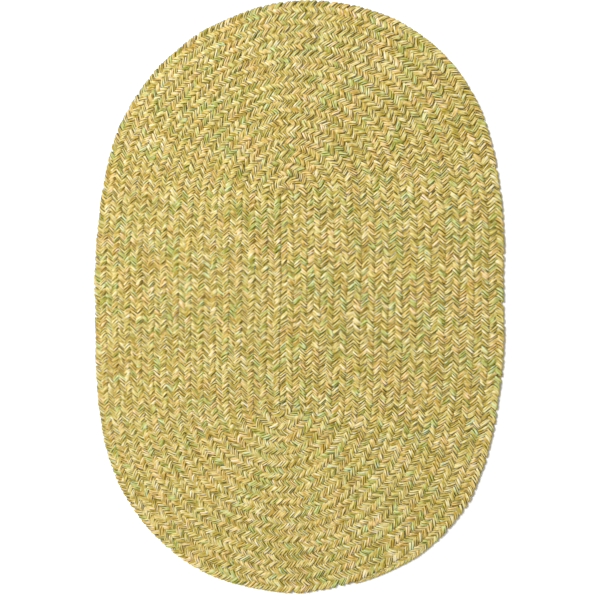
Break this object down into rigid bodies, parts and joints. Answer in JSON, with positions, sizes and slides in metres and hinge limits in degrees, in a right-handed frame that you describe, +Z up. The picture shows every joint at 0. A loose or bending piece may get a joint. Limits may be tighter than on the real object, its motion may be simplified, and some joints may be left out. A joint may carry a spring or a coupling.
{
  "type": "braided rug",
  "caption": "Flat oval rug made of continuous braid wound outwards from a straight centre seam and laced row to row, for lying on a floor either way up.",
  "frame": {"origin": "on the floor, under the middle of the rug's bounding box", "axes": "+Z up out of the top face, +Y along the rug's length and its centre seam, +X across the rows"},
  "size_m": [1.2608, 1.7822, 0.013],
  "materials": {
    "braided_yarn": "matt straw-yellow yarn flecked with cream, green and peach"
  },
  "bodies": {
    "root": {"braided_rug": "braided_yarn"}
  },
  "joints": []
}
